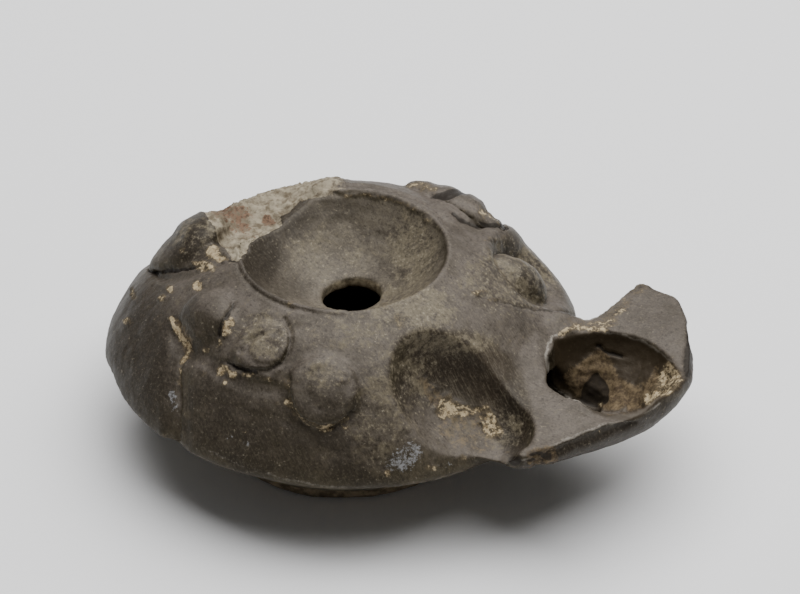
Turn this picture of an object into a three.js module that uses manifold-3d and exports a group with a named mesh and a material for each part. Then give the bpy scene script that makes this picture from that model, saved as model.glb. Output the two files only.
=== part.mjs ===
// A mould-made oil lamp of fired clay: a round, sharp-edged body with a dished top and a filling hole, a long
// neck between two thumb-like hollows, and an anchor-shaped nozzle with a wick hole. Its handle is broken off.
// Millimetres, +Z up. The origin is on the body's axis, on the ground; +X points to the nozzle.

import * as THREE from 'three';
import { mergeVertices } from 'three/addons/utils/BufferGeometryUtils.js';
import Module from 'manifold-3d';

const wasm = await Module();
wasm.setup();

// Body: a turned form, widest at a sharp edge, with a sloping shoulder above it and a plain cone below it.
const bodyRadius = 34.6;
const bodyEdgeHeight = 13.6;
const bodyEdgeRounding = 0.9;
const shoulderFullness = 1.36;
const rimRadius = 15.4;
const rimHeight = 31.9;
const rimBead = 0.55;
const footRadius = 19.2;
const footHeight = 2;
const restRadius = 13.5;
const footBevel = 0.6;
const footGrooveDepth = 0.8;

// The body left the hand a little out of round: flatter in front, and pressed into a broad lobe behind a crease.
const frontFlat = 1.2;
const frontTurn = -92;
const lobeProud = 0.4;
const creaseStart = -113;
const creaseLean = 1.9;

// Walls of the hollow body, and of the dish over it.
const bodyWall = 3.2;
const dishWall = 1.9;
const floorWall = 3.4;
const hollowWall = 2.2;

// Dish and filling hole.
const dishDepth = 8.5;
const dishFullness = 2.1;
const fillHoleRadius = 4.4;
const fillHoleOffset = 1.3;

// Nozzle: a flat top with two flukes, on a hull that thins out under the body.
const nozzleTop = 20.2;
const nozzleReach = 52.4;
const flukeX = 36.2;
const flukeSpread = 23;
const flukeLead = 3;
const hullDepth = 15.5;
const flukeRise = 0.4;
const hullRoot = 20;
const hullFullness = 2.1;
const hullBulge = 1.4;
const nearLipStart = 24;
const farLipStart = 31;
const farLipDrop = 4;
const neckFillet = 9;
const neckSink = 0.05;

// Wick hole and the passage from it to the oil.
const wickHoleStart = 31.2;
const wickHoleEnd = 51.6;
const wickHoleWidth = 18.6;
const wickHoleSkew = 1.2;
const wickHollowDepth = 8.6;
const passageRadius = 4.4;
const passageHeight = 13.4;

// Steps in the surface smaller than this are evened out.
const smallestStep = 0.02;

// The root of the handle stands this far behind the rim.
const stumpSetBack = 8.6;

const degree = Math.PI / 180;
const turnSteps = 60;

// Joining and cutting

// A closed solid from a geometry: shared corners are merged and faces without area are dropped.
function toSolid(geometry) {
  const bare = geometry.clone();
  bare.deleteAttribute('normal');
  bare.deleteAttribute('uv');
  const merged = mergeVertices(bare, 1e-4);
  const corners = merged.index.array;
  const kept = [];
  for (let i = 0; i < corners.length; i += 3) {
    const [a, b, c] = [corners[i], corners[i + 1], corners[i + 2]];
    if (a !== b && b !== c && c !== a) kept.push(a, b, c);
  }
  return new wasm.Manifold(new wasm.Mesh({
    numProp: 3,
    vertProperties: Float32Array.from(merged.attributes.position.array),
    triVerts: Uint32Array.from(kept),
  }));
}

function toGeometry(solid) {
  const mesh = solid.getMesh();
  const geometry = new THREE.BufferGeometry();
  geometry.setAttribute('position', new THREE.BufferAttribute(Float32Array.from(mesh.vertProperties), 3));
  geometry.setIndex(new THREE.BufferAttribute(Uint32Array.from(mesh.triVerts), 1));
  geometry.computeVertexNormals();
  return geometry;
}

const join = (solids) => solids.reduce((sum, solid) => sum.add(solid));
const cut = (solid, tools) => tools.reduce((rest, tool) => rest.subtract(tool), solid);

// A solid turned about the Z axis from [radius, height] pairs; outOfRound gives what is added to a radius at a
// turn about the axis.
function turned(profile, steps = turnSteps, outOfRound = () => 0) {
  const points = profile.map(([radius, height]) => new THREE.Vector2(radius, height));
  const geometry = new THREE.LatheGeometry(points, steps).rotateX(Math.PI / 2);
  const place = geometry.attributes.position;
  for (let i = 0; i < place.count; i += 1) {
    const [x, y] = [place.getX(i), place.getY(i)];
    const radius = Math.hypot(x, y);
    if (radius < 1e-3) continue;
    const size = (radius + outOfRound(radius, Math.atan2(y, x) / degree)) / radius;
    place.setX(i, x * size);
    place.setY(i, y * size);
  }
  return toSolid(geometry);
}

// Shoulder surface

// Height of the plain shoulder at a distance from the axis, and its steepness there.
function shoulderHeight(radius) {
  const across = Math.min(1, Math.max(0, (radius - rimRadius) / (bodyRadius - rimRadius)));
  const up = (1 - across ** shoulderFullness) ** (1 / shoulderFullness);
  return bodyEdgeHeight + (rimHeight - bodyEdgeHeight) * up;
}

// The distance from the axis at which the plain shoulder has come down to a height.
function turnAtHeight(height) {
  const up = (height - bodyEdgeHeight) / (rimHeight - bodyEdgeHeight);
  return rimRadius + (bodyRadius - rimRadius) * (1 - up ** shoulderFullness) ** (1 / shoulderFullness);
}

function shoulderSlope(radius) {
  const step = 0.05;
  return (shoulderHeight(radius + step) - shoulderHeight(radius - step)) / (2 * step);
}

// A frame on the shoulder: x runs down the slope, y round the body, z straight out of the surface. It may be
// tilted outwards, rolled sideways and swung about z.
function shoulderFrame(radius, turn, lift = 0, tilt = 0, roll = 0, swing = 0) {
  const slope = Math.atan(-shoulderSlope(radius));
  const place = new THREE.Matrix4().makeRotationZ(turn * degree);
  place.multiply(new THREE.Matrix4().makeTranslation(radius, 0, shoulderHeight(radius)));
  place.multiply(new THREE.Matrix4().makeRotationY(slope + tilt * degree));
  place.multiply(new THREE.Matrix4().makeRotationX(roll * degree));
  place.multiply(new THREE.Matrix4().makeTranslation(0, 0, lift));
  place.multiply(new THREE.Matrix4().makeRotationZ(swing * degree));
  return place;
}

// An uneven ellipsoid: each half has its own reach, given as [forward, back] on x, y and z.
function pebble(reach, frame, round = 32, tall = 18) {
  const geometry = new THREE.SphereGeometry(1, round, tall).rotateX(Math.PI / 2);
  const place = geometry.attributes.position;
  for (let i = 0; i < place.count; i += 1) {
    const point = [place.getX(i), place.getY(i), place.getZ(i)];
    const moved = point.map((value, axis) => value * reach[axis][value > 0 ? 0 : 1]);
    place.setXYZ(i, ...moved);
  }
  return toSolid(geometry.applyMatrix4(frame));
}

// Turned body and its hollow

function arcPoints(count, pointAt) {
  return Array.from({ length: count + 1 }, (_, i) => pointAt(i / count));
}

// The outer shoulder from the sharp edge up to the rim.
function shoulderProfile(from = 0, to = 1, count = 18) {
  return arcPoints(count, (share) => {
    const angle = (from + (to - from) * share) * Math.PI / 2;
    const [across, up] = [Math.cos(angle), Math.sin(angle)];
    const scale = (across ** shoulderFullness + up ** shoulderFullness) ** (-1 / shoulderFullness);
    return [
      rimRadius + (bodyRadius - rimRadius) * across * scale,
      bodyEdgeHeight + (rimHeight - bodyEdgeHeight) * up * scale,
    ];
  });
}

// The dish from its middle out to the rim.
function dishProfile(reach = 1, count = 9) {
  return arcPoints(count, (share) => {
    const radius = rimRadius * share * reach;
    return [radius, rimHeight - dishDepth + dishDepth * (share * reach) ** dishFullness];
  });
}

// A line of profile points moved sideways by a distance; a positive distance moves it to its right.
function shifted(points, distance) {
  return points.map(([radius, height], i) => {
    const [r0, h0] = points[Math.max(0, i - 1)];
    const [r1, h1] = points[Math.min(points.length - 1, i + 1)];
    const length = Math.hypot(r1 - r0, h1 - h0);
    return [Math.max(0, radius + (h1 - h0) / length * distance), height - (r1 - r0) / length * distance];
  });
}

const fade = (value, from, to) => THREE.MathUtils.smoothstep(value, from, to);

// The crease beside the pressed lobe leans back as it climbs the shoulder.
const creaseTurn = (radius) => creaseStart - (bodyRadius - radius) * creaseLean;

function handPressed(radius, turn) {
  const back = turn > 90 ? turn - 360 : turn;
  const inLobe = fade(creaseTurn(radius) - back, 0, 4) * (1 - fade(creaseStart - back, 45, 100));
  const inFront = Math.max(0, Math.cos((back - frontTurn) * degree)) ** 3;
  return (lobeProud * inLobe - frontFlat * inFront) * fade(radius, rimRadius + 8, bodyRadius - 5);
}

function bodySolid() {
  const rim = arcPoints(4, (share) => [
    rimRadius + rimBead * Math.cos(share * Math.PI),
    rimHeight + rimBead * Math.sin(share * Math.PI) * 0.7,
  ]);
  return turned([
    [0, 0],
    [restRadius, 0],
    [restRadius + footGrooveDepth, footGrooveDepth],
    [restRadius + footGrooveDepth * 2, 0],
    [footRadius - footBevel, 0],
    [footRadius, footBevel],
    [footRadius, footHeight],
    [bodyRadius - bodyEdgeRounding, bodyEdgeHeight - bodyEdgeRounding * 0.75],
    ...shoulderProfile(0, 0.93, 13),
    ...rim,
    [0, rimHeight],
  ], turnSteps, handPressed);
}

function chamberSolid() {
  const shoulder = shifted(shoulderProfile(0, 0.82, 7), -bodyWall);
  const ceiling = shifted(dishProfile(0.8, 5), dishWall).reverse();
  return turned([
    [0, floorWall],
    [footRadius - bodyWall, floorWall],
    ...shoulder,
    ...ceiling.slice(0, -1),
    [0, rimHeight - dishDepth - dishWall],
  ], turnSteps * 0.6);
}

function dishSolid() {
  const clear = 6;
  return turned([...dishProfile(0.985), [rimRadius, rimHeight + clear], [0, rimHeight + clear]]);
}

function fillHoleSolid() {
  const bore = new THREE.CylinderGeometry(fillHoleRadius, fillHoleRadius, dishDepth, 40);
  bore.rotateX(Math.PI / 2);
  bore.translate(fillHoleOffset, 0, rimHeight - dishDepth);
  return toSolid(bore);
}

// Nozzle

// A solid under a flat outline that tapers downwards: bottomAt gives the height of its underside at a place
// across it, topAt the height of its top at a place along it, and sizeAt its size at each share of that height,
// measured from a point on the body's side.
function raised(outline, bottomAt, steps, centre, sizeAt, topAt) {
  const geometry = new THREE.ExtrudeGeometry(new THREE.Shape(outline), { depth: 1, steps, bevelEnabled: false });
  const place = geometry.attributes.position;
  for (let i = 0; i < place.count; i += 1) {
    const [x, y, share] = [place.getX(i), place.getY(i), place.getZ(i)];
    const size = sizeAt(share);
    const height = THREE.MathUtils.lerp(bottomAt(y), topAt(x), share);
    place.setXYZ(i, centre.x + (x - centre.x) * size, centre.y + (y - centre.y) * size, height);
  }
  return toSolid(geometry);
}

// How the hull widens a little below its edge and then draws in to a narrow keel.
function hullSize(share) {
  const keel = 0.12;
  const bulgeDepth = 0.42;
  const under = (1 - (1 - share) ** hullFullness) ** (1 / hullFullness);
  const belly = Math.sin(Math.min(1, (1 - share) / bulgeDepth) * Math.PI);
  return Math.max(keel, under) + hullBulge / nozzleReach * belly;
}

// The underside of the hull rises from its middle to the flukes.
const keelHeight = (y) => nozzleTop - hullDepth * (1 - flukeRise * (y / flukeSpread) ** 2);

const hullCentre = () => new THREE.Vector2(hullRoot, 0);

const curve = (points, count) => new THREE.SplineCurve(
  points.map(([x, y]) => new THREE.Vector2(x, y))).getPoints(count);

// Plan of the nozzle's flat top. On each side a hollow bites in behind the fluke; the far fluke reaches further.
const farFlukeX = flukeX + flukeLead;

const nearBite = () => curve([
  [hullRoot, -flukeSpread * 0.45],
  [wickHoleStart - 3, -flukeSpread * 0.58],
  [wickHoleStart + 1, -flukeSpread * 0.7],
  [flukeX - 1.6, -flukeSpread * 0.84],
  [flukeX - 0.8, -flukeSpread * 0.88],
  [flukeX - 0.3, -flukeSpread],
], 14);

const farBite = () => curve([
  [farFlukeX - 1.2, flukeSpread * 0.98],
  [farFlukeX - 2.7, flukeSpread * 0.78],
  [farFlukeX - 4, flukeSpread * 0.58],
  [wickHoleStart + 1.9, flukeSpread * 0.48],
  [wickHoleStart - 4, flukeSpread * 0.42],
  [hullRoot, flukeSpread * 0.5],
], 14);

const nozzleEnd = () => curve([
  [flukeX, -flukeSpread],
  [flukeX + 2.2, -flukeSpread * 0.9],
  [flukeX + 5.4, -flukeSpread * 0.74],
  [nozzleReach - 6.1, -flukeSpread * 0.42],
  [nozzleReach - 1.4, -flukeSpread * 0.12],
  [nozzleReach, flukeSpread * 0.14],
  [nozzleReach - 1.4, flukeSpread * 0.41],
  [nozzleReach - 4, flukeSpread * 0.61],
  [nozzleReach - 8, flukeSpread * 0.88],
  [farFlukeX + 3, flukeSpread * 0.95],
  [farFlukeX, flukeSpread],
], 34);

// The hull under the flat top: on each side it reaches back to the body as a low web under the hollow.
function hullSolid() {
  const side = (reach) => [
    [hullRoot - 8, reach * 0.6],
    [hullRoot - 1, reach * 0.93],
    [hullRoot + 4, reach * 0.99],
    [hullRoot + 10, reach * 0.98],
  ].map(([x, y]) => new THREE.Vector2(x, y));
  const outline = [...side(-flukeSpread), ...nozzleEnd(), ...side(flukeSpread).reverse()];
  return raised(outline, keelHeight, 9, hullCentre(), hullSize, () => nozzleTop);
}

// What is left of the hull beside the bites: all of it under the flat top, and less than the lip's height behind
// it. The lip climbs from the body's edge to the fluke.
function topColumn() {
  const clear = flukeSpread * 1.3;
  const beyond = [[flukeX, -clear], [nozzleReach * 1.2, -clear], [nozzleReach * 1.2, clear], [farFlukeX, clear]];
  return upright([...nearBite(), ...beyond.map(([x, y]) => new THREE.Vector2(x, y)), ...farBite()], () => rimHeight);
}

function webColumn(side, tip, lipStart, lipHeight) {
  const clear = side * flukeSpread * 1.3;
  const outline = [[0, 0], [0, clear], [lipStart, clear], [tip, clear], [tip, 0], [lipStart, 0]];
  const slope = (nozzleTop - lipHeight) / (tip - lipStart);
  const topAt = (x) => lipHeight + Math.max(0, x - lipStart) * slope;
  return upright(outline.map(([x, y]) => new THREE.Vector2(x, y)), topAt);
}

const upright = (outline, topAt) => raised(outline, () => 0, 1, hullCentre(), () => 1, topAt);

function nozzleSolid() {
  return hullSolid().intersect(join([
    topColumn(),
    webColumn(-1, flukeX, nearLipStart, bodyEdgeHeight),
    webColumn(1, farFlukeX, farLipStart, bodyEdgeHeight - farLipDrop),
  ]));
}

// The neck runs into the nozzle's flat top without a corner.
function neckSolid() {
  const flat = turnAtHeight(nozzleTop);
  const above = flat - neckFillet / 2;
  const start = new THREE.Vector2(above, shoulderHeight(above));
  const corner = new THREE.Vector2(flat, nozzleTop);
  const end = new THREE.Vector2(flat + neckFillet / 2, nozzleTop - neckSink);
  const arc = new THREE.QuadraticBezierCurve(start, corner, end).getPoints(6).reverse();
  const ring = turned([
    [hullRoot - 4, bodyEdgeHeight],
    [flat, bodyEdgeHeight],
    ...arc.map((point) => [point.x, point.y]),
    [hullRoot - 4, nozzleTop],
    [hullRoot - 4, bodyEdgeHeight],
  ]);
  return ring.intersect(topColumn());
}

// The wick hole is oval and comes to a soft point at the nozzle's end.
function wickOutline() {
  const middle = THREE.MathUtils.lerp(wickHoleStart, wickHoleEnd, 0.52);
  return arcPoints(40, (share) => {
    const angle = share * 2 * Math.PI;
    const [across, aside] = [Math.cos(angle), Math.sin(angle)];
    const [reach, fullness] = across > 0 ? [wickHoleEnd - middle, 1.7] : [middle - wickHoleStart, 2.1];
    const scale = (Math.abs(across) ** fullness + Math.abs(aside) ** fullness) ** (-1 / fullness);
    return new THREE.Vector2(middle + reach * across * scale, wickHoleSkew + aside * scale * wickHoleWidth / 2);
  }).slice(0, -1);
}

function wickHollowSolid() {
  const middle = new THREE.Vector2(wickHoleStart + passageRadius, wickHoleSkew / 2);
  const bottom = nozzleTop - wickHollowDepth;
  const top = nozzleTop + wickHollowDepth / 2;
  const smallest = 0.2;
  const sizeAt = (share) => {
    const depth = Math.max(0, wickHollowDepth - share * (top - bottom)) / wickHollowDepth;
    return Math.max(smallest, (1 - depth ** 1.6) ** 0.7);
  };
  return raised(wickOutline(), () => bottom, 9, middle, sizeAt, () => top);
}

function passageSolid() {
  const start = bodyRadius - bodyWall * 4;
  const length = wickHoleStart + wickHollowDepth - start;
  const bore = new THREE.CylinderGeometry(passageRadius, passageRadius, length, 24);
  bore.rotateZ(Math.PI / 2);
  bore.translate(start + length / 2, 0, passageHeight);
  return toSolid(bore);
}

// Thumb-like hollows on each side of the neck, and the broken place where the handle stood. Each is a pebble cut
// out of the shoulder: its reach is [[down, up], [left, right], [out, in]] as seen from the axis.

const nearHollow = {
  radius: 29.6, turn: -34.5, lift: 2.6, tilt: -14, roll: -2, swing: 19,
  reach: [[11.6, 12.6], [8.6, 9.8], [14, 7]],
};
const farHollow = {
  radius: 27.5, turn: 35, lift: 3.4, tilt: -4, roll: 6, swing: 0,
  reach: [[13.5, 9.5], [9, 11], [14, 6]],
};
const handleBreak = {
  radius: 18, turn: 158, lift: 3, tilt: -20, roll: 0, swing: 0,
  reach: [[9, 7], [17, 15], [9, 5.8]],
};

function hollowSolid({ radius, turn, lift, tilt, roll, swing, reach }, grow = 0) {
  const grown = reach.map((pair) => pair.map((value) => value + grow));
  return pebble(grown, shoulderFrame(radius, turn, lift, tilt, roll, swing), 24, 12);
}

// Moulded relief on the shoulder: a leaf, two round bosses, a long lobe and a boss in the far hollow. The root of
// the handle is left as a stump behind them.

const bosses = [
  { radius: 22.9, turn: -130, lift: 0, reach: [[4.8, 4.4], [4.6, 4.4], [1.3, 2]] },
  { radius: 22.3, turn: -100.4, lift: 0, reach: [[4.4, 4.4], [4.3, 4.3], [1.1, 2]] },
  { radius: 26, turn: -75.4, lift: 0, reach: [[5.6, 5.2], [5.4, 5.4], [1.7, 2.4]] },
  { radius: 23.6, turn: 68, lift: 0, reach: [[5.5, 3.6], [8.6, 8.6], [1.7, 2.4]] },
  { radius: 26.6, turn: 28, lift: -1.8, reach: [[5.4, 5.2], [3.8, 3.8], [2.3, 2.6]] },
];
const handleStump = { radius: rimRadius + stumpSetBack, turn: 180, lift: 0, reach: [[8, 6.4], [6, 6.4], [2.2, 3]] };

function bossSolid({ radius, turn, lift, reach }) {
  return pebble(reach, shoulderFrame(radius, turn, lift), 18, 9);
}

// Grooves follow the shoulder through [radius, turn] points.
const grooves = [
  { width: 1.3, path: [[27, -137], [27.6, -130], [28.6, -124.5], [30.6, -120], [33, -116.5], [34.4, -114.5]] },
  { width: 1.6, path: [[17.2, -152], [22.6, -155], [27.5, -167], [29, -173]] },
  { width: 1.2, path: [[18.8, 58], [20.8, 50], [25.5, 48]] },
];

function grooveSolid({ width, path }) {
  const points = path.map(([radius, turn]) => {
    const [x, y] = [radius * Math.cos(turn * degree), radius * Math.sin(turn * degree)];
    return new THREE.Vector3(x, y, shoulderHeight(radius) + width / 6);
  });
  const section = new THREE.Shape();
  section.absarc(0, 0, width / 2, 0, 2 * Math.PI);
  return toSolid(new THREE.ExtrudeGeometry(section, {
    steps: path.length * 3, curveSegments: 3, bevelEnabled: false, extrudePath: new THREE.CatmullRomCurve3(points),
  }));
}

function lampSolid() {
  const plain = join([
    bodySolid(),
    nozzleSolid(),
    neckSolid(),
  ]);
  const pressed = cut(plain, [hollowSolid(nearHollow), hollowSolid(farHollow)]);
  const dressed = join([pressed, ...bosses.map(bossSolid)]);
  const broken = join([cut(dressed, [hollowSolid(handleBreak)]), bossSolid(handleStump)]);
  const grooved = cut(broken, grooves.map(grooveSolid));
  const chamber = cut(chamberSolid(), [nearHollow, farHollow, handleBreak].map(
    (hollow) => hollowSolid(hollow, hollowWall)));
  const lamp = cut(grooved, [dishSolid(), fillHoleSolid(), chamber, wickHollowSolid(), passageSolid()]);
  return lamp.simplify(smallestStep);
}

const clay = new THREE.MeshStandardMaterial({ color: 0x5c5347, roughness: 0.72, metalness: 0 });
const lamp = new THREE.Mesh(toGeometry(lampSolid()), clay);
lamp.name = 'lamp_body';

const group = new THREE.Group();
group.add(lamp);

export default group;
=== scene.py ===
"""A mould-made oil lamp of dark fired clay, standing on a pale floor. Metres."""
import math

import bpy
import numpy as np
from mathutils import Matrix, Vector, noise
from mathutils.bvhtree import BVHTree


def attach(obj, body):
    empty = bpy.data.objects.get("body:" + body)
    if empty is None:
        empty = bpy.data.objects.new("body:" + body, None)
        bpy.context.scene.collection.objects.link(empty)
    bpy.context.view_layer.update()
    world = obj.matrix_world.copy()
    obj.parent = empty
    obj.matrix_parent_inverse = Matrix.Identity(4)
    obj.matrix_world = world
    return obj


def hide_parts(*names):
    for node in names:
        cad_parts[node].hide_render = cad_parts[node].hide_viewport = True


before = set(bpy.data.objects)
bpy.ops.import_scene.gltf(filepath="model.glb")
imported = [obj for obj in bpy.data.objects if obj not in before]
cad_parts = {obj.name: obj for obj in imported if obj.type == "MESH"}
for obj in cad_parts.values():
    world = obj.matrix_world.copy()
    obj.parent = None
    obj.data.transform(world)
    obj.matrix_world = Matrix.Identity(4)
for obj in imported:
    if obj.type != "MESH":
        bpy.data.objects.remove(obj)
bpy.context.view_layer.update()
mm = 0.001


# Camera: a long lens, a little above the lamp and turned towards the nozzle's side.
azimuth, elevation, distance = math.radians(21), math.radians(36), 900 * mm
to_eye = Vector((math.sin(azimuth) * math.cos(elevation), -math.cos(azimuth) * math.cos(elevation),
                 math.sin(elevation)))
eye_right = Vector((math.cos(azimuth), math.sin(azimuth), 0))
eye_up = to_eye.cross(eye_right)
aim_height, aim_right, aim_up = 13.6 * mm, 8.309 * mm, 7.864 * mm
eye = Vector((0, 0, aim_height)) + to_eye * distance + eye_right * aim_right + eye_up * aim_up
image_size, focal_pixels, sensor = (800, 594), 6066, 36
bpy.ops.object.camera_add(location=eye)
camera = bpy.context.object
camera.name = "camera"
camera.rotation_euler = Matrix((eye_right, eye_up, to_eye)).transposed().to_euler()
camera.data.sensor_width = sensor
camera.data.lens = sensor * focal_pixels / image_size[0]
camera.data.clip_start, camera.data.clip_end = 0.05, 20
bpy.context.scene.camera = camera


# The lamp: one piece of dark fired clay, pressed in a mould, with walls about 3 mm thick. It is worn,
# chipped and crusted from the ground, and its handle is broken off. It rests on its foot.
bpy.ops.object.select_all(action="DESELECT")
cad_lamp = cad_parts["lamp_body"]
lamp = cad_lamp.copy()
lamp.data = cad_lamp.data.copy()
lamp.name = lamp.data.name = "clay_lamp"
bpy.context.collection.objects.link(lamp)
lamp.select_set(True)
bpy.context.view_layer.objects.active = lamp
bpy.ops.object.mode_set(mode="EDIT")
bpy.ops.mesh.select_all(action="SELECT")
bpy.ops.mesh.remove_doubles(threshold=0.01 * mm)
bpy.ops.object.mode_set(mode="OBJECT")


def finish(kind, **settings):
    """Puts a modifier on the lamp and applies it."""
    modifier = lamp.modifiers.new(kind.title(), kind)
    for key, value in settings.items():
        setattr(modifier, key, value)
    bpy.ops.object.modifier_apply(modifier=modifier.name)


def read(what):
    """The place or the normal of each point of the clay, as rows of x, y and z."""
    values = np.empty(len(lamp.data.vertices) * 3)
    lamp.data.vertices.foreach_get(what, values)
    return values.reshape(-1, 3)


def ease(value, low, high):
    """0 below low, 1 above high, with a soft step between them."""
    share = np.clip((value - low) / (high - low), 0, 1)
    return share * share * (3 - 2 * share)


def grain(size, seed, octaves=3):
    """Uneven swells of a size in mm, from about -1 to 1, at each point of the clay."""
    shift = Vector((seed * 7.13, seed * 3.71, seed * 5.37))
    return np.array([noise.fractal(Vector(point) / (size * mm) + shift, 0.7, 2.0, octaves)
                     for point in places])


# Smoothing rounds the edges that the mould and wear left soft; the rim and the two holes keep theirs.
# The sizes here are in mm.
rim_radius, hole_centre, hole_radius, nozzle_from = 15.4, 1.3, 4.4, 29
finish("REMESH", mode="VOXEL", voxel_size=0.38 * mm, adaptivity=0)
places = read("co")
radius, height = np.hypot(places[:, 0], places[:, 1]) / mm, places[:, 2] / mm
at_rim = np.exp(-((radius - rim_radius) / 1.8) ** 2) * (height > 29)
at_wick = (places[:, 0] / mm > nozzle_from) * ease(height, 16, 18)
from_hole = np.hypot(places[:, 0] - hole_centre * mm, places[:, 1]) / mm
at_hole = (np.abs(from_hole - hole_radius) < 2) * (height > 15)
firm = np.maximum.reduce([0.8 * at_rim, 0.65 * at_wick, 0.85 * at_hole])
soft = lamp.vertex_groups.new(name="soft")
for index, weight in enumerate(1 - firm):
    soft.add([index], float(weight), "REPLACE")
finish("SMOOTH", factor=0.5, iterations=16, vertex_group="soft")
finish("SMOOTH", factor=0.5, iterations=3)


def toward_camera():
    """The way from each point of the clay to the camera."""
    way = np.array(eye) - read("co")
    return way / np.linalg.norm(way, axis=1)[:, None]


def covered(directions, lift=0.5 * mm):
    """Whether clay is in the way of each point, looking along its direction."""
    surface = BVHTree.FromObject(lamp, bpy.context.evaluated_depsgraph_get())
    return np.array([surface.ray_cast(Vector(point + normal * lift), Vector(direction))[0] is not None
                     for point, normal, direction in zip(read("co"), read("normal"), directions)])


def coarsen(chosen, share_kept):
    """Thins the mesh where it is chosen, down to a share of its faces."""
    for part in (lamp.data.polygons, lamp.data.edges):
        part.foreach_set("select", np.zeros(len(part), bool))
    lamp.data.vertices.foreach_set("select", chosen)
    bpy.ops.object.mode_set(mode="EDIT")
    bpy.ops.mesh.select_mode(type="VERT")
    bpy.ops.mesh.decimate(ratio=share_kept)
    bpy.ops.object.mode_set(mode="OBJECT")


# The walls of the oil chamber hardly show, and the far sides have few marks: both are kept coarser.
coarsen(covered(toward_camera()) & covered(read("normal")), 0.05)
coarsen(covered(toward_camera()) & ~covered(read("normal")), 0.25)

places, outward = read("co"), read("normal")
radius, height = np.hypot(places[:, 0], places[:, 1]) / mm, places[:, 2] / mm
turn = np.degrees(np.arctan2(places[:, 1], places[:, 0]))


def evened(values, times):
    """Each point's value shared with its neighbours' again and again."""
    ends = np.empty(len(lamp.data.edges) * 2, int)
    lamp.data.edges.foreach_get("vertices", ends)
    one, two = ends.reshape(-1, 2).T
    links = np.bincount(ends, minlength=len(places))
    for _ in range(times):
        total = np.stack([np.bincount(one, column[two], len(places))
                          + np.bincount(two, column[one], len(places)) for column in values.T], axis=1)
        values = (values + total / links[:, None]) / 2
    return values


# How far the clay stands out past what is around it, in mm: edges are above 0, and grooves below.
standing = evened(((places - evened(places, 24)) * outward).sum(1)[:, None] / mm, 3)[:, 0]

# Marks are placed on the side that shows by their place in the picture, in pixels, and on the other
# sides by turn and height. The two grains keep the marks' edges from being too smooth.
away = places - np.array(eye)
depth = -(away @ np.array(to_eye))
across = image_size[0] / 2 + focal_pixels * (away @ np.array(eye_right)) / depth
down = image_size[1] / 2 - focal_pixels * (away @ np.array(eye_up)) / depth
seen = 1.0 - covered(toward_camera())
across += 1.5 * grain(1.6, 4)
down += 1.5 * grain(1.6, 5)


def spots(*marks):
    """Soft oval spots, each given as across, down, half width, half height and strength."""
    total = np.zeros(len(places))
    for x, y, wide, tall, strength in marks:
        off = np.hypot((across - x) / wide, (down - y) / tall)
        total = np.maximum(total, strength * (1 - ease(off, 0.5, 1.35)))
    return total * seen


def off_line(points):
    """How far each point of the clay is, in the picture, from a line."""
    nearest = np.full(len(places), 1e9)
    for (x0, y0), (x1, y1) in zip(points, points[1:]):
        run = np.array([x1 - x0, y1 - y0])
        share = np.clip(((across - x0) * run[0] + (down - y0) * run[1]) / (run @ run), 0, 1)
        nearest = np.minimum(nearest, np.hypot(across - x0 - share * run[0], down - y0 - share * run[1]))
    return nearest


def line(width, *points):
    """A soft line through points of the picture."""
    return (1 - ease(off_line(points), 0.25 * width, width)) * seen


def patch(soft_edge, *points):
    """A patch inside a line that closes on itself."""
    inside = np.zeros(len(places), bool)
    for (x0, y0), (x1, y1) in zip(points, points[1:] + points[:1]):
        if y0 != y1:
            inside ^= ((y0 > down) != (y1 > down)) & (across < (x1 - x0) * (down - y0) / (y1 - y0) + x0)
    edge = off_line(points + points[:1])
    return ease(np.where(inside, edge, -edge), -soft_edge, soft_edge) * seen


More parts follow.
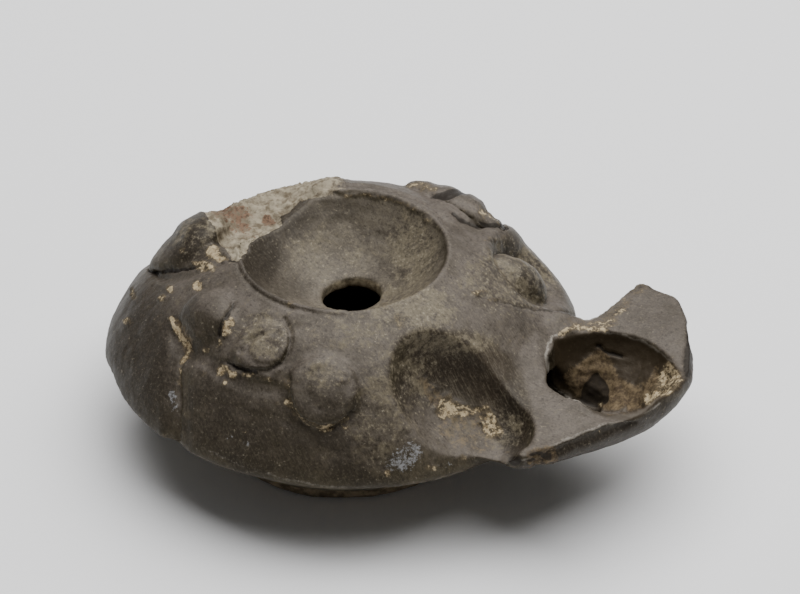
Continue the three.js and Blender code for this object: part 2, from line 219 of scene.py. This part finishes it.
# Where the clay is broken, crusted, worn or pitted, and where light or shade is painted, each as a share
# from 0 to 1.
behind = 1 - seen
scar = patch(2.0, (203, 212), (222, 205), (240, 196), (262, 188), (300, 178), (330, 172), (341, 173),
             (349, 178), (344, 182), (348, 187), (338, 191), (342, 196), (322, 197), (305, 199),
             (298, 204), (290, 211), (280, 214), (283, 225), (270, 231), (258, 237), (250, 243),
             (247, 252), (241, 258), (230, 259), (226, 248), (220, 240), (214, 228))
swell, ripple, pit = grain(9, 1), grain(2.6, 2), grain(1.0, 3)
ragged = 9 * swell + 6 * ripple
round_back = (ease(turn + ragged, 108, 114) + ease(ragged - turn, 158, 165)) * ease(radius, 15, 16)
round_back *= 1 - ease(radius + 0.25 * ragged, 23, 24.5)
scar = np.maximum(scar, behind * np.clip(round_back, 0, 1) * ease(height, 22, 24))
# The two thin spots on the far neck ridge, at 478 and 494 across, are painted highlights.
cream = np.maximum.reduce([
    spots((213, 252, 8, 8, 0.9), (200, 263, 9, 3, 0.9), (221, 258, 8, 4, 0.9), (206, 268, 12, 5, 0.7),
          (198, 286, 6, 6, 0.9), (170, 289, 5, 4, 0.9), (162, 298, 5, 4, 0.7), (136, 296, 3, 8, 0.6),
          (130, 322, 5, 4, 0.5), (182, 250, 5, 4, 0.4), (226, 329, 5, 8, 1), (231, 323, 4, 5, 0.9),
          (220, 341, 3, 4, 0.9), (221, 370, 7, 6, 1), (231, 374, 6, 4, 0.9), (246, 375, 8, 3, 0.7),
          (224, 382, 3, 4, 0.6), (267, 379, 8, 3, 0.5), (205, 350, 6, 3, 0.5), (286, 385, 4, 10, 0.5),
          (287, 402, 4, 5, 0.8), (325, 430, 7, 3, 0.9), (345, 428, 3, 3, 0.7), (340, 380, 6, 5, 0.4),
          (205, 372, 4, 3, 0.4), (400, 320, 8, 12, 0.4), (384, 300, 5, 9, 0.4), (478, 292, 9, 2.5, 0.6),
          (494, 299, 9, 2.5, 0.5), (487, 243, 9, 3, 0.3), (538, 457, 4, 3, 0.6), (508, 452, 4, 2, 0.5),
          (388, 473, 4, 4, 0.9), (462, 458, 8, 4, 0.5), (430, 468, 8, 3, 0.5), (290, 304, 4, 2.5, 0.6),
          (427, 220, 4, 3, 0.7), (600, 405, 3, 3, 0.6), (600, 330, 14, 2.5, 0.8)),
    0.8 * line(3.5, (560, 334), (575, 330), (590, 328), (606, 330)),
    line(4, (172, 318), (176, 334), (183, 345), (184, 352), (179, 361)) * 0.9,
    0.5 * line(3, (179, 361), (178, 375), (177, 388)),
    0.6 * line(4, (287, 405), (295, 414), (305, 422), (320, 428), (335, 426), (348, 418)),
    0.75 * patch(3, (434, 412), (438, 403), (447, 393), (455, 399), (466, 405), (480, 407), (488, 402),
                 (492, 410), (497, 420), (504, 431), (500, 441), (492, 439), (484, 433), (478, 421),
                 (466, 418), (455, 416), (444, 421), (437, 418)),
    0.75 * patch(3, (645, 398), (655, 390), (660, 375), (662, 365), (668, 361), (678, 369), (684, 380),
                 (682, 388), (674, 396), (660, 400), (648, 404)),
    0.45 * patch(3, (562, 325), (580, 322), (600, 318), (612, 309), (622, 300), (632, 289), (642, 282),
                 (651, 285), (645, 293), (635, 299), (628, 310), (618, 318), (620, 326), (605, 330),
                 (590, 328), (570, 332)),
    0.6 * patch(3, (404, 184), (420, 183), (438, 190), (436, 195), (420, 193), (405, 191)),
    0.5 * patch(3, (475, 216), (482, 211), (492, 210), (500, 222), (495, 226), (487, 218), (480, 222)),
    0.6 * line(3, (345, 196), (365, 194), (385, 198), (402, 203), (420, 212)),
])
crust = np.maximum.reduce([
    patch(5, (436, 423), (450, 414), (480, 417), (495, 440), (492, 452), (470, 456), (452, 448),
          (440, 436)) * 0.4,
    patch(4, (560, 376), (584, 360), (600, 345), (618, 355), (640, 362), (658, 366), (662, 392),
          (640, 405), (610, 411), (590, 404), (570, 390)) * 0.8,
    0.5 * patch(3, (412, 372), (425, 376), (445, 396), (436, 410), (424, 396)),
    0.5 * patch(4, (170, 318), (178, 316), (190, 345), (186, 362), (180, 360), (178, 345)),
    0.6 * patch(2.0, (525, 450), (556, 444), (560, 462), (528, 467)),
])
dark = np.maximum.reduce([
    line(2.4, (152, 273), (170, 271), (190, 268), (200, 266)),
    line(2.4, (228, 260), (236, 259)),
    line(2.4, (233, 303), (229, 314), (221, 325), (218, 335)),
    0.8 * line(2.0, (226, 362), (240, 370), (258, 375)),
    patch(2, (428, 198), (445, 194), (460, 195), (468, 199), (450, 205), (440, 202)),
    patch(2, (476, 222), (485, 224), (499, 226), (498, 233), (490, 233), (482, 230)),
    0.8 * line(2.2, (450, 216), (465, 224), (482, 231)),
    # Painted shade in the grooves under the lower sides of two bosses.
    0.5 * line(2.0, (287, 324), (291, 338), (290, 352), (283, 363), (272, 371)),
    0.45 * line(2.4, (288, 392), (293, 408), (304, 420), (322, 427), (342, 423), (353, 411), (357, 398)),
    # Painted shade in the wick hollow.
    patch(3, (583, 385), (590, 375), (597, 372), (604, 380), (609, 388), (608, 400), (600, 407),
          (588, 406), (580, 400)),
    line(2.2, (596, 345), (608, 352), (622, 356)),
    patch(2, (507, 459), (512, 455), (520, 457), (523, 463), (516, 466), (509, 464)),
    0.8 * spots((537, 454, 9, 4, 1), (548, 458, 6, 4, 1), (532, 462, 6, 3, 0.8), (556, 452, 12, 3, 0.6)),
    # Painted shade on the side facet at the nozzle's end.
    0.7 * patch(2, (682, 326), (684, 345), (683, 370), (686, 378), (692, 376), (694, 362), (691, 342),
                (687, 328)),
    # The first two spots are painted shade on the far boss's lower side; the other two darken the broken
    # stump.
    0.35 * spots((532, 286, 16, 12, 1), (520, 268, 16, 14, 0.6), (200, 224, 12, 8, 1),
                 (222, 243, 8, 6, 1.2)),
    # Painted shade along the neck's far edge.
    0.5 * line(2.2, (472, 292), (490, 300), (520, 306), (545, 312), (570, 320)),
])
crust *= 1 - 0.8 * patch(4, (604, 338), (640, 350), (656, 364), (652, 376), (640, 388), (624, 380),
                         (612, 366))
scoop = patch(5, (404, 338), (425, 331), (455, 332), (475, 334), (492, 344), (508, 358), (520, 375),
              (528, 395), (531, 415), (527, 435), (521, 448), (505, 446), (498, 438), (480, 404),
              (448, 392), (428, 378), (412, 358))
scuff = spots((402, 460, 18, 14, 1), (412, 450, 12, 12, 0.9), (390, 468, 8, 8, 0.9),
              (172, 402, 5, 10, 0.9), (231, 437, 5, 4, 0.8), (246, 444, 5, 4, 0.6),
              (444, 465, 10, 4, 0.6), (170, 395, 4, 6, 0.8))
wick_hollow = patch(2, (549, 345), (547, 355), (549, 367), (555, 380), (563, 390), (575, 400), (590, 408),
                    (605, 413), (620, 415), (635, 414), (650, 409), (665, 401), (675, 396), (683, 388),
                    (684, 380), (683, 372), (678, 366), (670, 359), (660, 352), (650, 345), (640, 340),
                    (630, 337), (615, 333), (600, 332), (585, 332), (570, 335), (560, 338))
dusty = np.maximum.reduce([
    spots((330, 252, 50, 34, 0.6), (412, 250, 30, 44, 0.9), (420, 310, 40, 30, 1),
          (385, 310, 20, 30, 0.8), (400, 380, 50, 40, 0.6), (510, 280, 60, 34, 0.7),
          (265, 335, 30, 26, 0.8), (325, 375, 30, 18, 0.6), (380, 420, 40, 50, 0.5),
          (200, 235, 30, 24, 0.6), (440, 343, 56, 14, 0.9), (485, 430, 60, 20, 0.6),
          (350, 330, 60, 30, 0.5)),
    behind * 0.3])
rosy = spots((232, 214, 26, 9, 1), (240, 224, 14, 8, 0.9), (269, 220, 9, 6, 1), (246, 234, 10, 4, 0.7))
# Painted shade on the nozzle's near wall, underside and end facet; the spots darken other patches.
shade_and_dark_patches = np.maximum.reduce([
    patch(3, (521, 462), (550, 448), (570, 438), (600, 427), (630, 418), (655, 409), (680, 398),
          (690, 392), (696, 402), (680, 425), (600, 475), (540, 480), (515, 470)),
    patch(3, (680, 322), (684, 340), (684, 365), (682, 386), (692, 388), (700, 370), (700, 340),
          (690, 316)),
    spots((275, 222, 36, 26, 0.8), (262, 255, 26, 40, 1), (290, 286, 24, 14, 0.6),
          (320, 208, 46, 14, 0.6), (192, 238, 30, 30, 0.9), (138, 360, 44, 90, 0.8),
          (260, 440, 90, 50, 0.4), (200, 330, 30, 30, 0.4), (322, 408, 30, 16, 0.5),
          (515, 262, 30, 20, 0.4), (513, 420, 16, 40, 0.9), (655, 318, 34, 40, 0.3),
          (322, 388, 26, 28, 0.3), (440, 385, 40, 26, 0.5), (225, 395, 40, 30, 0.5),
          (528, 278, 20, 20, 0.7))])
# Painted light: the outer foot is made lighter, where it would otherwise sit in shade.
low = (1 - ease(height, 3.4, 4.6)) * ease(radius, 12, 14)
dish = ease(rim_radius - radius, 0, 0.8) * ease(height, 18, 20)
# Painted light on the far inner wall of the filling hole.
painted_hole_light = patch(1.5, (323, 300), (328, 290), (337, 283), (357, 279), (377, 284), (382, 294), (376, 294),
            (357, 289), (336, 293), (326, 302))
edges = np.maximum.reduce([
    0.8 * ease(standing, 0.17, 0.36) * (1 - spots((521, 458, 14, 12, 1))),
    0.8 * line(2.6, (568, 331), (552, 336), (543, 344), (541, 356), (543, 369), (550, 382), (560, 392),
               (575, 401), (590, 406), (606, 409), (621, 410), (636, 410), (650, 408), (664, 403)),
    0.7 * line(2.4, (600, 331), (625, 336), (645, 343), (660, 352), (672, 362), (681, 371)),
    # Painted highlights along the nozzle's near edge and the lamp's lower edge.
    0.6 * line(3.0, (523, 461), (550, 447), (570, 437), (600, 426), (630, 417)),
    0.45 * line(3.0, (208, 449), (240, 465), (280, 478), (330, 487), (380, 489), (430, 482), (470, 470))])

# The break gets shallower towards its right end.
scar *= 1 - 0.5 * ease(across, 295, 350) * seen

# Relief, pushed out of or into the clay along its surface, in mm.
push = 0.14 * swell + 0.05 * ripple + 0.035 * pit
push -= scar * (0.35 + 0.6 * np.abs(ripple) + 0.3 * pit)
push += cream * (1 - scar) * (0.1 + 0.3 * ripple + 0.25 * pit)
push += crust * (0.05 + 0.3 * ripple + 0.3 * pit)
push -= dark * (0.35 + 0.1 * ripple)

# A double line round the near side of the dish.
push -= 0.3 * line(3.2, (236, 262), (243, 277), (260, 293), (284, 306), (312, 312))
push += 0.15 * line(3.0, (240, 260), (248, 275), (264, 289), (286, 302), (315, 309), (345, 312))

# The crease and the pressed hollows at the left, and the front lobe over them.
push -= 0.4 * line(3.5, (180, 360), (178, 375), (178, 395), (177, 420), (176, 445))
push -= 0.45 * line(17, (176, 330), (180, 352), (178, 380), (177, 410), (176, 445))
push -= 0.25 * line(12, (190, 352), (205, 359), (222, 372), (248, 385), (274, 389))
push += 0.12 * line(16, (200, 382), (222, 390), (250, 400), (276, 408))

# A lump at the far end of the break, the worn lip of the wick hole and a groove under the nozzle.
push += 0.7 * spots((338, 177, 7, 5, 1))
push += 0.35 * line(4.0, (549, 340), (545, 356), (549, 370), (560, 390), (590, 410)) * (1 - wick_hollow)
push -= 0.45 * line(7, (535, 462), (555, 452), (575, 443), (602, 433), (632, 421))

# The shoulder's edge swells and dips a little where wear and the mould left it uneven.
upper = (radius > 17) * (radius < 36) * (height > 12)
for amount, points in (
        (0.8, ((192, 221), (205, 216), (235, 208), (265, 198), (295, 190), (325, 185))),
        (0.4, ((340, 183), (370, 184), (400, 188), (430, 186))),
        (1.25, ((458, 202), (475, 207), (492, 220), (505, 239), (520, 251), (535, 267), (550, 284),
                (565, 310))),
        (0.7, ((140, 277), (136, 284), (129, 296), (122, 308), (116, 320), (113, 332), (111, 350)))):
    push += amount * (1 - ease(off_line(points), 5, 28)) * upper
push -= 0.9 * (1 - ease(np.hypot((across - 489) / 12, (down - 217) / 10), 0.4, 1.4)) * upper
push += 0.8 * (1 - ease(np.hypot((across - 498) / 20, (down - 245) / 16), 0.3, 1.3)) * upper


def dome(x, y, wide, tall, tip=0.0):
    """1 at the middle of an oval in the picture, falling to 0 at its edge; tip turns it, in degrees."""
    way = np.radians(tip)
    along = (across - x) * np.cos(way) + (down - y) * np.sin(way)
    beside = (down - y) * np.cos(way) - (across - x) * np.sin(way)
    return np.clip(1 - (along / wide) ** 2 - (beside / tall) ** 2, 0, 1) * seen


# The bosses: two are pressed flatter with a low button on top, one is sunk and one is fuller, and grooves
# curl round their lower sides, darkened with painted shade.
push -= 0.9 * dome(262, 343, 30, 31)
push += 0.22 * ease(dome(266, 347, 21, 18), 0, 0.5)
push -= 0.55 * dome(322, 388, 34, 36)
push += 0.4 * dome(327, 388, 20, 22)
push += 0.14 * line(11, (297, 374), (306, 364), (322, 359), (338, 364), (346, 374))
push -= 0.5 * dome(196, 340, 28, 28, -30)
push += 0.5 * dome(212, 312, 30, 22, 30)
push -= 0.3 * line(3.0, (237, 352), (240, 345), (250, 337), (262, 331))
push -= 0.45 * line(3.4, (285, 318), (291, 332), (290, 350), (284, 362), (268, 372), (244, 371),
                    (232, 366))
push -= 0.45 * line(3.4, (288, 378), (286, 392), (290, 408), (302, 421), (322, 429), (342, 425),
                    (353, 412))
places += outward * (push * mm)[:, None]

# The wick hole's near rim is worn thin, and its inner end is short. The nozzle's far corner stands out,
# and its near corner is worn back.
on_top = (radius > 28) * (height > 14)
short_end = np.hypot((across - 541) / 16, (down - 358) / 22)
near_rim = np.hypot((across - 622) / 36, (down - 408) / 13)
far_corner = np.hypot((across - 680) / 22, (down - 312) / 34)
near_corner = np.hypot((across - 676) / 34, (down - 410) / 24)
places += np.outer((1 - ease(short_end, 0.5, 1.35)) * on_top * 0.8 * mm, eye_right)
places -= np.outer((1 - ease(near_rim, 0.5, 1.35)) * on_top * 0.75 * mm, eye_up)
at_far_corner = (1 - ease(far_corner, 0.3, 1.4)) * (radius > 36)
at_near_corner = (1 - ease(near_corner, 0.3, 1.4)) * (radius > 36)
places += np.outer(at_far_corner * 0.75 * mm, eye_right)
places += np.outer(at_far_corner * 0.4 * mm, eye_up)
places -= np.outer(at_near_corner * 0.7 * mm, eye_right)

# The foot stands level: no relief reaches below what the lamp rests on.
places[:, 2] = np.maximum(places[:, 2], 0)
lamp.data.vertices.foreach_set("co", places.ravel())
lamp.data.update()
for polygon in lamp.data.polygons:
    polygon.use_smooth = True

marks = {"scar": scar, "cream": cream, "crust": crust, "dark": dark, "scoop": scoop, "scuff": scuff,
         "wick_hollow": wick_hollow, "dusty": dusty, "rosy": rosy, "shade_and_dark_patches": shade_and_dark_patches, "low": low,
         "standing": standing, "edges": edges, "painted_hole_light": painted_hole_light, "dish": dish}
for name, share in marks.items():
    paint = lamp.data.attributes.new(name, "FLOAT", "POINT")
    paint.data.foreach_set("value", share)


# Shader maths: a value wraps a socket, and its operators add Math nodes.
clay = bpy.data.materials.new("fired_clay")
clay.use_nodes = True
tree = clay.node_tree
tree.nodes.clear()


class Value:
    def __init__(self, socket):
        self.socket = socket

    @staticmethod
    def node(kind, settings=None, output=0, **inputs):
        """A shader node: its settings first, then its sockets by name, or as i0, i1 by number."""
        made = tree.nodes.new("ShaderNode" + kind)
        for key, value in (settings or {}).items():
            setattr(made, key, value)
        for key, value in inputs.items():
            socket = made.inputs[int(key[1:]) if key[1:].isdigit() else key.replace("_", " ")]
            if isinstance(value, Value):
                tree.links.new(value.socket, socket)
            else:
                socket.default_value = value
        return Value(made.outputs[output]) if made.outputs else None

    def maths(self, operation, other=0.0, swap=False):
        first, second = (other, self) if swap else (self, other)
        return Value.node("Math", {"operation": operation}, i0=first, i1=second)

    def __add__(self, other):
        return self.maths("ADD", other)

    def __sub__(self, other):
        return self.maths("SUBTRACT", other)

    def __rsub__(self, other):
        return self.maths("SUBTRACT", other, swap=True)

    def __mul__(self, other):
        return self.maths("MULTIPLY", other)

    __radd__, __rmul__ = __add__, __mul__

    def between(self, low, high):
        """0 below low, 1 above high, with a soft step between them."""
        return Value.node("MapRange", {"interpolation_type": "SMOOTHSTEP"},
                          Value=self, From_Min=low, From_Max=high)

    def over(self, shade, under):
        """A shade laid over what is under it, as much as this value says."""
        return Value.node("Mix", {"data_type": "RGBA"}, output=2, Factor=self, i6=under, i7=shade)


def tone(red, green, blue):
    """A colour as seen, from 0 to 255, made linear."""
    return tuple(((value / 255 + 0.055) / 1.055) ** 2.4 for value in (red, green, blue)) + (1,)


place = Value.node("TexCoord", output=3)
facing = Value.node("SeparateXYZ", output=2, Vector=Value.node("NewGeometry", output=1))


def speckle(size_mm, detail=3, rough=0.6, shift=0.0, at=place):
    """Uneven spots of a size, from 0 to 1 and mostly near the middle."""
    spot = Value.node("VectorMath", {"operation": "ADD"}, i0=at, i1=(shift, shift * 2, -shift))
    return Value.node("TexNoise", Vector=spot, Scale=1 / (size_mm * mm), Detail=detail, Roughness=rough)


def drawn_out(direction, times):
    """Places squeezed along a direction, so that what is laid there comes out as strokes."""
    stroke = Vector(direction).normalized()
    length = Value.node("VectorMath", {"operation": "DOT_PRODUCT"}, output=1, i0=place, i1=stroke)
    back = Value.node("VectorMath", {"operation": "SCALE"}, i0=stroke, Scale=length * (1 / times - 1))
    return Value.node("VectorMath", {"operation": "ADD"}, i0=place, i1=back)


def painted(name):
    """The share that a mark has at each point of the clay."""
    return Value.node("Attribute", {"attribute_name": name}, output=2)


broad = speckle(13, 3)
medium = speckle(4, 4, shift=0.1)
small = speckle(1.8, 3, 0.65, shift=0.15)
fine = speckle(0.9, 4, 0.7, shift=0.2)
finest = speckle(0.42, 3, 0.75, shift=0.3)
strokes = speckle(0.26, 3, 0.65, shift=0.4, at=drawn_out(eye_right * 0.5 - eye_up, 9))
from_axis = Value.node("VectorMath", {"operation": "LENGTH"}, output=1,
                       i0=Value.node("VectorMath", {"operation": "MULTIPLY"}, i0=place, i1=(1, 1, 0)))
ring_width = 0.5 * mm
rings = Value.node("TexNoise", {"noise_dimensions": "1D"},
                   W=from_axis * (1 / ring_width), Scale=1, Detail=3)
edge = (small - 0.5) * 0.9 + (fine - 0.5) * 1.1 + (finest - 0.5) * 0.7
(scar, cream, crust, dark, scoop, scuff, wick_hollow, dusty, rosy, shade_and_dark_patches, low, standing, edges, painted_hole_light,
 dish) = (painted(name) for name in marks)

# The colours, from the clay out: painted sheen and shade, dust, grain, worn edges, crusts, the break,
# painted light.
# Painted sheen: upward faces are made lighter and greyer, as under the light overhead.
top_sheen = facing.between(0.3, 0.95) * (medium.between(0.3, 0.65) * 0.5 + 0.5)
base = broad.between(0.4, 0.62).over(tone(51, 45, 31), tone(37, 31, 20))
base = (medium * 0.6 + small * 0.4).between(0.46, 0.6).over(tone(63, 56, 41), base)
base = (top_sheen * (1 - scoop * 0.9)).over(tone(85, 78, 72), base)
base = (scoop * 0.9).over(medium.between(0.35, 0.65).over(tone(56, 48, 38), tone(44, 36, 27)), base)
# Painted shade, and dark patches.
base = (shade_and_dark_patches * (medium.between(0.2, 0.55) * 0.25 + 0.7)).over(tone(31, 25, 18), base)
base = ((dusty * 0.2 + medium * 0.5 + fine * 0.5).between(0.58, 0.74) * 0.8).over(tone(97, 89, 72), base)
base = (dish * medium.between(0.25, 0.6) * (0.5 - shade_and_dark_patches * 0.45)).over(tone(96, 89, 75), base)
base = (dish * rings.between(0.45, 0.3) * 0.14).over(tone(30, 25, 18), base)
base = (strokes.between(0.5, 0.66) * (scoop * 0.25 + 0.12)).over(tone(106, 98, 82), base)
base = (strokes.between(0.5, 0.36) * 0.25).over(tone(24, 19, 14), base)
base = ((dusty * 0.12 + fine * 0.6 + finest * 0.4).between(0.56, 0.72) * 0.5).over(
    tone(120, 111, 93), base)
base = ((finest * 0.7 + fine * 0.3 + dusty * 0.05 - scoop * 0.02).between(0.61, 0.71) * 0.75).over(
    tone(146, 138, 120), base)
base = (finest.between(0.5, 0.66) * 0.15).over(tone(112, 105, 92), base)
base = (finest.between(0.5, 0.34) * 0.15).over(tone(26, 21, 15), base)
base = ((finest * 0.5 + fine * 0.5).between(0.47, 0.34) * 0.6).over(tone(22, 17, 12), base)
# Worn edges are lighter, with painted highlights along two edges.
base = ((edges + edge * 0.5).between(0.3, 0.9) * 0.7).over(tone(144, 138, 129), base)
# Grooves are darkened: painted shade.
base = ((standing * -5 + edge * 0.4).between(0.3, 1.2) * 0.6).over(tone(34, 27, 18), base)
base = (wick_hollow * 0.85).over(tone(46, 37, 25), base)
base = (crust + edge * 0.8).between(0.25, 0.75).over(
    (small * 0.4 + fine * 0.3 + finest * 0.3).between(0.4, 0.62).over(
        tone(107, 92, 69), tone(57, 45, 31)), base)
# Dark cracks, chips and pits, with painted shade in some hollows, on the far boss and under two bosses.
base = ((dark + edge * 0.6).between(0.35, 0.65) * 0.9).over(tone(20, 15, 11), base)
base = ((scuff + edge * 1.5 + (finest - 0.5) * 1.2 - 0.5).between(0.2, 0.7) * 0.75).over(
    tone(134, 135, 137), base)
base = ((cream + edge * 1.3).between(0.25, 0.65) * 0.6).over(tone(86, 75, 56), base)
base = (cream + edge * 1.6 - 0.32).between(0.3, 0.6).over(
    (small * 0.5 + finest * 0.5).between(0.4, 0.58).over(tone(168, 152, 122), tone(112, 95, 69)), base)
broken = (small * 0.5 + fine * 0.5).between(0.38, 0.6).over(tone(142, 133, 115), tone(90, 80, 65))
broken = (rosy + edge * 1.6 - 0.4).between(0.25, 0.6).over(
    finest.between(0.4, 0.6).over(tone(108, 85, 68), tone(68, 52, 40)), broken)
base = (scar + edge * 0.6).between(0.4, 0.6).over(broken, base)
# Painted light on the outer foot.
base = (low * 0.8).over(small.between(0.4, 0.6).over(tone(150, 134, 110), tone(96, 84, 66)), base)
# Painted light on the far inner wall of the filling hole.
base = painted_hole_light.over(fine.between(0.4, 0.6).over(tone(150, 138, 114), tone(112, 100, 80)), base)
grainy = (medium * 0.4 + small * 0.2 + fine * 0.3 + finest * 0.15 + strokes * scoop * 0.2
          + rings * dish * 0.05)
bump = Value.node("Bump", Strength=0.55, Distance=0.3 * mm, Height=grainy)
roughness = (scar + cream + crust).between(0.2, 0.8) * 0.3 + fine * 0.2 + 0.42
shader = Value.node("BsdfPrincipled", Base_Color=base, Roughness=roughness, Normal=bump,
                    Specular_IOR_Level=0.3, Specular_Tint=(1.0, 0.92, 0.8, 1))
Value.node("OutputMaterial", Surface=shader)
lamp.data.materials.clear()
lamp.data.materials.append(clay)

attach(lamp, "root")
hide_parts("lamp_body")


# The floor is a wide sheet of pale paper. The light is a large soft box over and behind the lamp, in a
# pale room.
bpy.ops.object.select_all(action="DESELECT")
bpy.ops.mesh.primitive_plane_add(size=8, location=(0, 0, 0))
floor = bpy.context.object
floor.name = "floor"
paper = bpy.data.materials.new("pale_floor")
paper.use_nodes = True
paper.node_tree.nodes["Principled BSDF"].inputs["Base Color"].default_value = (0.84, 0.84, 0.845, 1)
paper.node_tree.nodes["Principled BSDF"].inputs["Roughness"].default_value = 0.9
floor.data.materials.append(paper)

bpy.ops.object.light_add(type="AREA", location=(0.05, 0.16, 0.60))
key = bpy.context.object
key.data.size = 0.85
key.data.energy = 11
key.rotation_euler = (Vector((0, 0, 0)) - key.location).to_track_quat("-Z", "Y").to_euler()

room = bpy.data.worlds.new("room")
bpy.context.scene.world = room
room.use_nodes = True
room.node_tree.nodes["Background"].inputs["Color"].default_value = (1, 1, 1, 1)
room.node_tree.nodes["Background"].inputs["Strength"].default_value = 0.13
